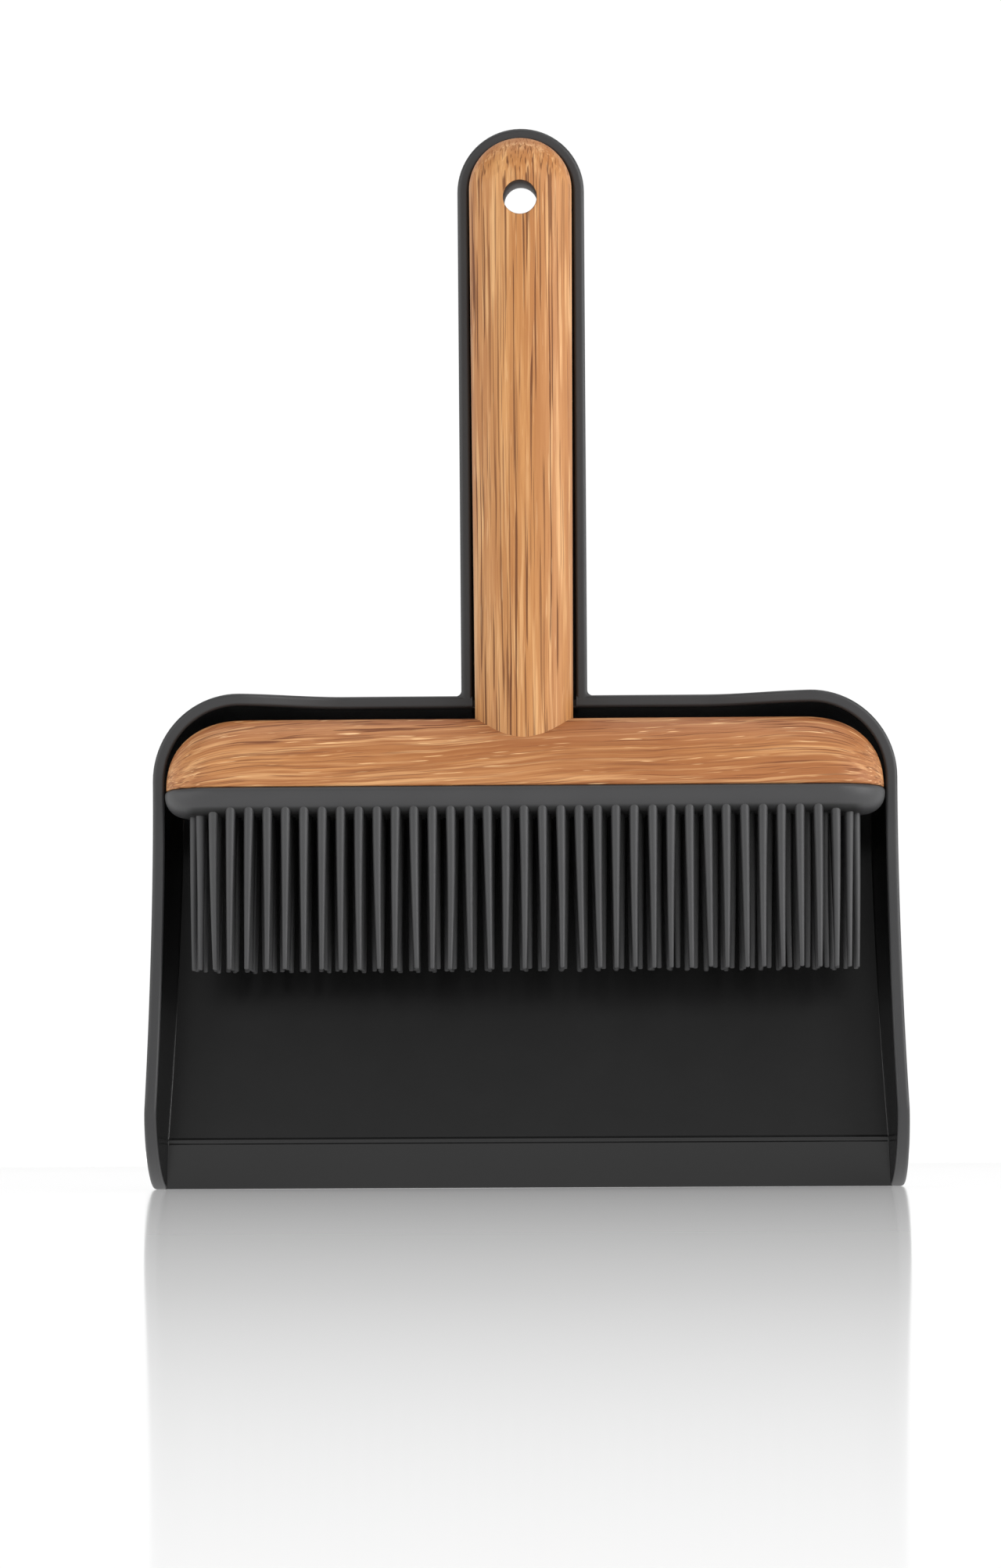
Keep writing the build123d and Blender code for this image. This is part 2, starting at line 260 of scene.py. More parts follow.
def oak(name, rot, along, seed, tones, dark, pore, fleck, deep=1.0, fleck_amount=0.5, wave=1.0, tint=(1.0, 0.94, 0.84),
        soft=(0.62, 0.60, 0.55), line=(1500, 26, 0.60, 0.67)):
    """Oak with its grain along X or Z of the turned space: slow tones, wavy bands, fine fibres, long pores, pale rays."""
    m = Mat(name)
    turned = m.mapping((1, 1, 1), rot=rot)
    if along == "X":
        # near the head's rounded ends the grain follows the outline
        sep = m.n("ShaderNodeSeparateXYZ")
        m.link(turned, sep.inputs[0])
        u = m.math("MULTIPLY_ADD", m.math("ABSOLUTE", sep.outputs["X"]), 1 / 0.034, -0.082 / 0.034, True)
        h = m.math("POWER", m.math("SUBTRACT", 1.0, m.math("POWER", u, 2.2)), 0.45)
        zz = m.math("DIVIDE", m.math("SUBTRACT", sep.outputs["Z"], 0.1269), m.math("MAXIMUM", h, 0.22))
        zz = m.math("MULTIPLY_ADD", sep.outputs["X"], -0.055, zz)
        com = m.n("ShaderNodeCombineXYZ")
        m.link(sep.outputs["X"], com.inputs[0])
        m.link(sep.outputs["Y"], com.inputs[1])
        m.link(zz, com.inputs[2])
        moved = m.mapping((1, 1, 1), loc=(seed, seed * 0.7, seed * 0.3), src=com.outputs[0])
        bent = m.warp(moved, (15, 50, 50), (0.0, 0.003 * wave, 0.0050 * wave))
        bent = m.warp(bent, (70, 220, 220), (0.0, 0.0006 * wave, 0.0009 * wave))
    else:
        moved = m.mapping((1, 1, 1), loc=(seed, seed * 0.7, seed * 0.3), src=turned)
        bent = m.warp(moved, (30, 30, 6), (0.0040 * wave, 0.003 * wave, 0.0))
        bent = m.warp(bent, (120, 120, 24), (0.0006 * wave, 0.0004 * wave, 0.0))

    def sp(cross, deepness, grain, off=0.0):
        sc = (grain, deepness, cross) if along == "X" else (cross, deepness, grain)
        return m.mapping(sc, loc=(off, off * 0.6, off * 1.3), src=bent)

    tone = m.noise(sp(60, 30, 5), detail=2, rough=0.5)
    base = m.ramp(tone, [(0.34, tones[0]), (0.5, tones[1]), (0.66, tones[2])])
    band = m.noise(sp(330, 120, 8, 3), detail=3, rough=0.55)
    base = m.mix(m.math("MULTIPLY", m.ramp(band, [(0.42, 0.0), (0.60, 1.0)]), soft[0]), base, dark)
    streak = m.noise(sp(1300, 360, 26, 7), detail=3, rough=0.62)
    base = m.mix(m.math("MULTIPLY", m.ramp(streak, [(0.46, 0.0), (0.62, 1.0)]), soft[1]), base, dark)
    pale = m.ramp(m.noise(sp(700, 260, 20, 13), detail=2, rough=0.5), [(0.53, 0.0), (0.65, 1.0)])
    base = m.mix(m.math("MULTIPLY", pale, soft[2]), base, tones[3])
    fibre = m.noise(sp(2900, 900, 60, 17), detail=2, rough=0.6)
    base = m.mix(m.math("MULTIPLY", m.ramp(fibre, [(0.42, 0.0), (0.66, 1.0)]), 0.40), base, dark)
    where = m.ramp(m.noise(sp(150, 70, 6, 23), detail=2), [(0.40, 0.3), (0.58, 1.0)])
    pores = m.math("MULTIPLY", m.ramp(m.noise(sp(line[0], 420, line[1], 29), detail=1.0, rough=0.5), [(line[2], 0.0), (line[3], 1.0)]), where)
    base = m.mix(m.math("MULTIPLY", pores, 0.85 * deep), base, pore)
    flecks = m.ramp(m.noise(sp(1700, 500, 70, 31), detail=1.5), [(0.66, 0.0), (0.72, 1.0)])
    base = m.mix(m.math("MULTIPLY", flecks, fleck_amount), base, fleck)
    if along == "Z":
        # end grain shows as an arc of short pale rays over a tip darkened by painted shade
        sep = m.n("ShaderNodeSeparateXYZ")
        m.link(turned, sep.inputs[0])
        ez = m.math("SUBTRACT", sep.outputs["Z"], 0.31771)
        rr = m.math("SQRT", m.math("ADD", m.math("MULTIPLY", sep.outputs["X"], sep.outputs["X"]), m.math("MULTIPLY", ez, ez)))
        tip = m.math("MULTIPLY", m.math("MULTIPLY_ADD", rr, 1 / 0.004, -0.0105 / 0.004, True), m.math("MULTIPLY_ADD", ez, 1 / 0.006, -0.4, True))
        # painted shade: the tip of the end made darker
        base = m.mix(m.math("MULTIPLY", tip, 0.62), base, dark)
        ring = m.math("SUBTRACT", 1.0, m.math("MULTIPLY", m.math("ABSOLUTE", m.math("SUBTRACT", rr, 0.0136)), 1 / 0.0011, clamp=True), clamp=True)
        rays = m.ramp(m.noise(m.mapping((1300, 1300, 420), src=turned), detail=1.5), [(0.50, 0.0), (0.58, 1.0)])
        base = m.mix(m.math("MULTIPLY", m.math("MULTIPLY", ring, rays), m.math("MULTIPLY", tip, 0.5)), base, fleck)
    m.set(Base_Color=m.mix(1.0, base, tint, "MULTIPLY"))
    m.set(Roughness=m.math("MULTIPLY_ADD", flecks, -0.10, m.math("MULTIPLY_ADD", pores, 0.2, 0.50)))
    m.set(Normal=m.bump(m.math("SUBTRACT", m.math("MULTIPLY", fibre, 0.25), pores), 0.00012, 0.8))
    m.set(Specular_IOR_Level=0.36)
    return m


oak_v = oak("oak_handle_wood", (radians(-7.5), 0, 0), "Z", 2.3,
            (srgb(178, 124, 74), srgb(197, 145, 93), srgb(214, 167, 116), srgb(230, 187, 138)),
            srgb(160, 104, 57), srgb(92, 49, 20), srgb(232, 194, 150), 1.0, 0.25, 0.8, (1.0, 0.95, 0.84), (0.42, 0.42, 0.50), (1750, 17, 0.575, 0.615))
oak_h = oak("oak_head_wood", (0, 0, 0), "X", 5.1,
            (srgb(170, 114, 70), srgb(188, 134, 86), srgb(204, 153, 104), srgb(220, 174, 126)),
            srgb(146, 88, 46), srgb(100, 52, 24), srgb(238, 200, 154), 1.0, 0.75, 1.1, (1.0, 0.95, 0.85), (0.55, 0.62, 0.60), (1900, 26, 0.575, 0.625))
# painted shade: a near-black copy of the oak for the wall of the hole, which lies in shadow
oak_bore_shaded = Mat("oak_bore_painted_shade")
ob_n = oak_bore_shaded.noise(oak_bore_shaded.mapping((900, 900, 120), rot=(radians(-7.5), 0, 0)), detail=3)
oak_bore_shaded.set(Base_Color=oak_bore_shaded.ramp(ob_n, [(0.35, srgb(44, 26, 14)), (0.65, srgb(84, 52, 30))]), Roughness=0.7)


def rubber(name, lo, hi, root_shade_z=None, shade_under_pad=False):
    """Matte silicone; painted shade makes the inner rows darker towards the root, and makes the pad between the
    bristles darker too.
    """
    m = Mat(name)
    big = m.noise(m.mapping((1, 1, 1)), scale=40.0, detail=2.0)
    col = m.ramp(big, [(0.3, lo), (0.7, hi)])
    if root_shade_z is not None or shade_under_pad:
        sep = m.n("ShaderNodeSeparateXYZ")
        m.link(m.tc.outputs["Object"], sep.inputs[0])
    if root_shade_z is not None:
        # painted shade: darker towards the root, below the given height
        up = m.math("MULTIPLY_ADD", sep.outputs["Z"], 1 / 0.045, -root_shade_z / 0.045, True)
        col = m.mix(m.math("MULTIPLY", up, 0.8), col, srgb(12, 12, 12))
    if shade_under_pad:
        # painted shade on the pad's underside between the bristles: near-black below this height and inside the bristle
        # field
        below = m.math("MULTIPLY_ADD", sep.outputs["Z"], -1 / 0.0009, 0.1209 / 0.0009, True)
        inside = m.math("MULTIPLY_ADD", m.math("ABSOLUTE", sep.outputs["X"]), -1 / 0.003, 0.1075 / 0.003, True)
        col = m.mix(m.math("MULTIPLY", below, m.math("MULTIPLY", inside, 0.93)), col, srgb(8, 8, 8))
    m.set(Base_Color=col)
    fine = m.noise(m.mapping((1, 1, 1)), scale=1900.0, detail=2.0)
    m.set(Roughness=m.math("MULTIPLY_ADD", fine, 0.12, 0.44 if root_shade_z is None else 0.55))
    m.set(Normal=m.bump(fine, 0.00002))
    return m


silicone = rubber("silicone_matte", srgb(52, 52, 53), srgb(57, 57, 58))
# the pad's silicone carries painted shade on its underside between the bristles
silicone_pad = rubber("silicone_pad_matte_painted_shade", srgb(49, 49, 50), srgb(53, 53, 54), shade_under_pad=True)
# a shaded copy of the silicone for the rows behind the front row: darker base and painted shade towards the root
silicone_shaded_rows = rubber("silicone_inner_rows_painted_shade", srgb(37, 37, 38), srgb(42, 42, 43), 0.070)

dowel_m = oak("dowel_wood", (radians(-7.5), 0, 0), "Z", 9.7,
              (srgb(188, 150, 106), srgb(200, 164, 120), srgb(212, 178, 136), srgb(222, 190, 150)),
              srgb(178, 136, 92), srgb(150, 108, 68), srgb(226, 196, 158), 0.5, 0.2)
plate_m = satin_plastic("plate_plastic", srgb(46, 46, 48), srgb(52, 52, 54), 0.5, 0.00003)
steel_m = Mat("zinc_steel")
st_n = steel_m.noise(steel_m.mapping((1, 1, 1)), scale=800.0, detail=2.0)
steel_m.set(Base_Color=steel_m.ramp(st_n, [(0.3, srgb(178, 180, 184)), (0.7, srgb(200, 202, 206))]), Metallic=1.0)
steel_m.set(Roughness=steel_m.math("MULTIPLY_ADD", st_n, 0.15, 0.25))

for node, m in (("handle_dowels", dowel_m), ("bristle_base_plate", plate_m), ("base_plate_screws", steel_m)):
    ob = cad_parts[node]
    if not ob.material_slots:
        ob.data.materials.append(m.m)
    for sl in ob.material_slots:
        sl.material = m.m


# ------------------------------------------------------------------ scoop
ZC, XC = Z_REAR - R_CORNER, HALF_W - R_CORNER
A_ARC = ZC + R_CORNER * pi / 2          # path length where the rear corner ends


def wall_xz(a, o):
    """A point o inside the outer face, a along the wall from the lip, and how far it faces the rear."""
    if a <= ZC:
        w, rf, dz = HALF_W - o, FLARE_R + o, FLARE_Z - min(a, FLARE_Z)
        return w + rf - sqrt(rf * rf - dz * dz), a, 0.0
    if a <= A_ARC:
        ph = (a - ZC) / R_CORNER
        return XC + (R_CORNER - o) * cos(ph), ZC + (R_CORNER - o) * sin(ph), sin(ph)
    return XC - (a - A_ARC), Z_REAR - o, 1.0


def floor_y(z):
    if z >= RAMP_Z:
        return FLOOR_Y0 + T_FLOOR * z
    yr = FLOOR_Y0 + T_FLOOR * RAMP_Z
    return LIP_Y - (LIP_Y - yr) * z / RAMP_Z


def under_y(z):
    if z >= RAMP_Z:
        return FLOOR_Y0 + T_FLOOR * z + FLOOR_T
    yr = FLOOR_Y0 + T_FLOOR * RAMP_Z + FLOOR_T
    return LIP_Y + LIP_T - (LIP_Y + LIP_T - yr) * z / RAMP_Z


def plane_y(z, n):
    """Depth of the plane n above the handle's mid plane, at height z."""
    s = (z - 155 + s7 * n) / c7
    return -s7 * s - c7 * n


Y150 = plane_y(150, EAR)


def rim_point(a, x, z):
    if z < 70:
        return 0.0
    if z < 150 and a < A_ARC - 2:
        u = (z - 70) / 80.0
        return (-2 * u ** 3 + 3 * u ** 2) * Y150 + (u ** 3 - u ** 2) * 80 * (-t7)
    n = EAR
    if x < DIP_OUT:
        n = TRAY_RIM if x < DIP_IN else lerp(TRAY_RIM, EAR, ease((x - DIP_IN) / (DIP_OUT - DIP_IN)))
    return plane_y(z, n)


def rim_curve():
    pts = [(0.0, LIP_Y + LIP_T - 0.02), (0.0, LIP_Y + 0.4)]
    for i in range(0, 31):
        th = pi / 2 * i / 30
        pts.append((NOSE_Z * (1 - cos(th) ** (4 / 3)), LIP_Y * (1 - sin(th) ** (4 / 3))))
    zs = [NOSE_Z + (ZC - NOSE_Z) * i / 40 for i in range(1, 41)]
    pts += [(z, rim_point(z, HALF_W, z)) for z in zs]
    a_end = A_ARC + XC - CHANNEL_W / 2
    n1, n2 = 22, 46
    for i in range(1, n1 + 1):
        a = lerp(ZC, A_ARC, i / n1)
        x, z, q = wall_xz(a, 0)
        pts.append((a, rim_point(a, x, z)))
    for i in range(1, n2 + 1):
        a = lerp(A_ARC, a_end, i / n2)
        x, z, q = wall_xz(a, 0)
        pts.append((a, rim_point(a, x, z)))
    return pts


def inward(pts):
    """Unit normals of a curve in the unrolled wall, pointing into the wall."""
    out = []
    for i in range(len(pts)):
        p0, p1 = pts[max(0, i - 1)], pts[min(len(pts) - 1, i + 1)]
        ta, ty = p1[0] - p0[0], p1[1] - p0[1]
        ln = sqrt(ta * ta + ty * ty) or 1.0
        out.append((-ty / ln, ta / ln))
    return out


RIM_RO, RIM_RI, FOOT_R, UNDER_R = 1.2, 0.9, 0.3, 4.0


def wall_part(curve, side, mid=False):
    """A length of wall as a closed solid, its foot sunk in the floor slab."""
    isl = Island()
    rings, cut = [], None
    for (a, y), (na, ny) in zip(curve, inward(curve)):
        pts, mats = [], []

        def put(d, o, mat, y_abs=None):
            aa = max(0.0, a + na * d) if y_abs is None else a_f
            yy = y + ny * d if y_abs is None else y_abs
            _, zz, q = wall_xz(aa, 0)
            if y_abs is None:
                yy += t7 * o * q if q > 0 else 0.0
            yb = under_y(min(aa, Z_REAR) if aa < ZC else zz) - 0.02
            yy = min(yy, yb)
            oo, oi = T_OUT * yy, WALL + T_IN * yy
            x, z, q = wall_xz(aa, lerp(oo, oi, o / WALL) if 0 <= o <= WALL else (oo + o if o < 0 else oi + (o - WALL)))
            pts.append(P(side * x, yy, z))
            mats.append(mat)

        a_f = max(0.0, a + na * RIM_RO)
        _, z_o, _ = wall_xz(a_f, 0)
        _, z_i, _ = wall_xz(a_f, WALL)
        y_top = y + ny * RIM_RO
        rb = UNDER_R * ease(z_o / 34.0) + 0.25
        yb = under_y(z_o) - 0.02
        yb = under_y(wall_xz(a_f, T_OUT * yb + rb)[1]) - 0.02
        rb = max(0.02, min(rb, 0.85 * (yb - y_top)))

        def face_pt(o_abs_in, yy, inner, mat):
            yy = min(yy, yb)
            off = (WALL + T_IN * yy if inner else T_OUT * yy) + o_abs_in
            x, z, q = wall_xz(a_f, off)
            pts.append(P(side * x, yy, z))
            mats.append(mat)

        # outer side, from the underside up to the rim
        for cx, cy in arc(rb, 6, 90, 0):
            face_pt(rb - cx, yb - rb + cy, False, 0)
        face_pt(0.0, max(min(y_top + 0.35, yb), y_top), False, 0)
        for i in range(7):
            th = pi / 2 * i / 6
            put(RIM_RO * (1 - sin(th)), RIM_RO * (1 - cos(th)), 0)
        put(0.0, RIM_RO + 0.25, 0)
        put(0.0, WALL - RIM_RI - 0.25, 0)
        for i in range(7):
            th = pi / 2 * (1 - i / 6)
            put(RIM_RI * (1 - sin(th)), WALL - RIM_RI * (1 - cos(th)), 0)
        # inner side, down to the floor and its small fillet
        a_f = max(0.0, a + na * RIM_RI)
        y_top = y + ny * RIM_RI + (t7 * WALL if z_o > 150 else 0.0)
        yf = floor_y(z_i) + 0.02
        rf = max(0.0, min(FOOT_R, 0.8 * (yf - y_top)))
        face_pt(0.0, min(y_top + 0.35, max(yf - rf, y_top)), True, 1)
        face_pt(0.0, max(yf - rf - 0.3, min(y_top + 0.4, yf)), True, 1)
        for cx, cy in arc(rf, 5, 180, 90):
            x, z, q = wall_xz(a_f, WALL + T_IN * yf + rf + cx)
            yl = floor_y(z) + 0.02 if rf > 0 else yf
            yy = max(yl - rf + cy, min(y_top, yl)) if rf > 0 else max(yf, y_top)
            pts.append(P(side * x, min(yy, yb), z))
            mats.append(1)
        rings.append((isl.ring(pts), mats))
    for (r0, m0), (r1, m1) in zip(rings, rings[1:]):
        isl.strip(r0, r1, m0)
    isl.face(rings[0][0][::-1], 0)
    isl.face(rings[-1][0], 0)
    return isl


def slab():
    isl = Island()
    zs = [0.55, 1.6, 3.0, 6.0, 9.0, 12.0]
    creases = []
    cr = 0.5                                  # the crease between ramp and floor, with a fine groove along it
    for i in (-13, -10, -8, -7, -6, -5, -4, -3, -2, -1, 0, 1, 2, 3, 4, 5, 6, 7, 8, 9, 10, 11, 12, 13, 14, 15, 16, 17):
        creases.append(RAMP_Z + i * 0.1)
    rear = [RAMP_Z + 2.6, 24, 36, 60, 90, 120, ZC]
    rear += [ZC + (Z_REAR - 2.2 - ZC) * sin(pi / 2 * i / 16) for i in range(1, 17)]
    zs = zs + creases + rear

    def top_y(z):
        d = z - RAMP_Z
        groove = 0.34 * (1 - ease((abs(d) - 0.12) / 0.55))
        if abs(d - 0.95) < 0.65:              # and a low bead above it
            groove -= 0.10 * cos(pi / 2 * (d - 0.95) / 0.65) ** 2
        if abs(d) < cr:                       # parabola tangent to both planes
            m0, m1 = -(LIP_Y - (FLOOR_Y0 + T_FLOOR * RAMP_Z)) / RAMP_Z, T_FLOOR
            y0 = floor_y(RAMP_Z - cr)
            u = d + cr
            return y0 + m0 * u + (m1 - m0) * u * u / (4 * cr) + groove
        return floor_y(z) + groove

    def half(z, y, o):
        off = T_OUT * y + o
        if z <= ZC:
            return wall_xz(z, off)[0]
        return XC + sqrt(max(0.01, (R_CORNER - off) ** 2 - (z - ZC) ** 2))

    top, bot = [], []
    for z in zs:
        zb = min(z, Z_REAR - 5.15)
        yt, yb = top_y(z), under_y(zb)
        rb = UNDER_R * ease(z / 34.0) + 0.25
        xt, xb = half(z, yt, 2.0), half(zb, yb, rb + 0.03)
        top.append(isl.ring([P(-xt, yt, z), P(xt, yt, z)]))
        bot.append(isl.ring([P(-xb, yb, zb), P(xb, yb, zb)]))
    nose = []
    yt, yb = top_y(zs[0]), under_y(zs[0])
    for i in range(1, 8):
        th = pi * i / 8
        y, z = lerp(yt, yb, (1 - cos(th)) / 2), zs[0] * (1 - sin(th))
        x = half(max(z, 0.0), y, 2.0)
        nose.append(isl.ring([P(-x, y, z), P(x, y, z)]))
    chain = [r for r in reversed(top)] + nose + bot
    nt = len(top)
    for i in range(len(chain) - 1):
        isl.strip(chain[i], chain[i + 1], 1 if i < nt + 2 else 0, closed=False)
    isl.strip(chain[-1], chain[0], 0, closed=False)
    for sd in (0, 1):
        for k in range(len(zs) - 1):
            isl.face((top[k][sd], top[k + 1][sd], bot[k + 1][sd], bot[k][sd]), 0)
        isl.face([top[0][sd]] + [r[sd] for r in nose] + [bot[0][sd]], 0)
    return isl


def middle_wall():
    """The rear wall below the tray's channel."""
    isl = Island()
    hw = CHANNEL_W / 2 + 0.4
    rings = []
    for x in (-hw, hw):
        zo, zi = Z_REAR, Z_REAR - WALL
        r = 0.8
        yo = plane_y(zo - 0.4, TRAY_FLOOR)
        prof = []
        yb = under_y(Z_REAR - 5.2) - 0.02
        for cx, cy in arc(UNDER_R, 6, 90, 0):
            y = yb - UNDER_R + cy
            prof.append((y, zo - T_OUT * y - UNDER_R + cx))
        prof.append((yo, zo - T_OUT * yo - 0.02))
        yi = plane_y(zi, TRAY_FLOOR)
        for cx, cy in arc(r, 5, 90, 180):
            y = yi + r - cy * 1.0
            prof.append((y, zi - T_IN * y + r + cx))
        yf = floor_y(zi - 1.5) + 0.02
        for cx, cy in arc(FOOT_R, 5, 0, 90):
            prof.append((yf - FOOT_R + cy, zi - T_IN * yf - FOOT_R + cx))
        rings.append(isl.ring([P(x, y, z) for y, z in prof]))
    n = len(rings[0])
    mats = [0] * 8 + [1] * (n - 8)
    isl.strip(rings[0], rings[1], mats)
    isl.face(rings[0][::-1], 0)
    isl.face(rings[1], 0)
    return isl


def stadium(half_w, s0, s_end, n_arc=36, n_side=10):
    """Outline of the tray or handle from the right foot round the end to the left foot: (x, s, nx, ns), normals inwards."""
    out = []
    for i in range(n_side):
        out.append((half_w, lerp(s0, s_end, i / n_side), -1.0, 0.0))
    for i in range(n_arc + 1):
        th = pi * i / n_arc
        out.append((half_w * cos(th), s_end + half_w * sin(th), -cos(th), -sin(th)))
    for i in range(n_side):
        out.append((-half_w, lerp(s_end, s0, (i + 1) / n_side), 1.0, 0.0))
    return out


def tray():
    isl = Island()
    w = (TRAY_W - CHANNEL_W) / 2
    s0, fr = 0.3, 1.7
    low = [s0, 0.7, 1.0, 1.3, 1.6, 1.9, 2.2, 2.5, 2.8, 3.2, 3.7, 4.3, 5.2, 12.0]
    ol = stadium(TRAY_W / 2 - 0.03, 20.0, TRAY_END)
    ol = [(TRAY_W / 2 - 0.03, s, -1.0, 0.0) for s in low] + ol + [(0.03 - TRAY_W / 2, s, 1.0, 0.0) for s in reversed(low)]

    def foot(s, n):
        """How far the fillet at the rear wall pushes the tray's side out."""
        y = -s7 * s - c7 * n
        d = (155 + c7 * s - s7 * n) - (Z_REAR - T_OUT * y)
        return 0.0 if d >= fr else fr - sqrt(max(0.0, fr * fr - (fr - max(d, 0.0)) ** 2))
    prof = [(3.2, TRAY_BACK, 0)]
    for cx, cy in arc(2.6, 6, 270, 180):
        prof.append((2.6 + cx, TRAY_BACK + 2.6 + cy, 0))
    ro, ri, rf = 1.2, 0.9, 1.1
    prof.append((0.0, TRAY_RIM - ro - 0.3, 0))
    for cx, cy in arc(ro, 6, 180, 90):
        prof.append((ro + cx, TRAY_RIM - ro + cy, 0))
    prof.append((ro + 0.25, TRAY_RIM, 0))
    prof.append((w - ri - 0.25, TRAY_RIM, 0))
    for cx, cy in arc(ri, 6, 90, 0):
        prof.append((w - ri + cx, TRAY_RIM - ri + cy, 0))
    for cx, cy in arc(rf, 5, 180, 270):
        prof.append((w + rf + cx, TRAY_FLOOR + rf + cy, 0))
    prof.append((w + rf + 0.3, TRAY_FLOOR, 0))
    cols = []
    for k, (o, n, m) in enumerate(prof):
        ring = []
        for x, s, nx, ns in ol:
            e, dn = 0.0, 0.0
            if s < 8:
                e = foot(s, n)
                if k <= 7:                        # round the back edge the fillet turns with the surface
                    t = max(0.0, min(1.0, (o - 0.0) / 2.6))
                    e, dn = e * sqrt(max(0.0, 1 - t * t)), -e * t
                elif k > 9:
                    e *= max(0.0, 1 - o / 0.9)
            ring.append(at(s + ns * o, n + dn, x + nx * (o - e)))
        cols.append(isl.ring(ring))
    for c0, c1 in zip(cols, cols[1:]):
        isl.strip(c0, c1, 0, closed=False)
    # the open foot of the tray, sunk in the rear wall
    nh = 40
    rings = []
    for r, n in ((HOLE_R + 0.35, TRAY_BACK), (HOLE_R + 0.1, TRAY_BACK + 0.1), (HOLE_R, TRAY_BACK + 0.35),
                 (HOLE_R, TRAY_FLOOR - 0.35), (HOLE_R + 0.1, TRAY_FLOOR - 0.1), (HOLE_R + 0.35, TRAY_FLOOR)):
        rings.append(isl.ring([at(HOLE_S + r * sin(2 * pi * i / nh), n, r * cos(2 * pi * i / nh)) for i in range(nh)]))
    for r0, r1 in zip(rings, rings[1:]):
        isl.strip(r0, r1, 0)
    isl.fill([cols[0], rings[0]], 0)
    isl.fill([cols[-1], rings[-1]], 0)
    first = [c[0] for c in cols]
    last = [c[-1] for c in cols]
    isl.face(first + last[::-1], 0)
    return isl


curve = rim_curve()
pan = make("pan_shell", [wall_part(curve, 1), wall_part(curve, -1), middle_wall(), slab(), tray()],
           [plastic.m, gloss.m])
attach(pan, "dustpan")
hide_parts("dustpan_shell")


# ------------------------------------------------------------------ oak handle
def handle_w(s):
    return lerp(HANDLE_WL, HANDLE_WT, max(0.0, min(1.0, (s - LOW_S) / (TRAY_END - LOW_S))))


def crown_h(s):
    return CROWN + 0.9 * (1 - ease((s + 4) / 34.0))


def crown(x, s):
    q = abs(x) / handle_w(s) if s <= TRAY_END else sqrt(x * x + (s - TRAY_END) ** 2) / HANDLE_WT
    return crown_h(s) * sqrt(max(0.0, 1 - q * q))


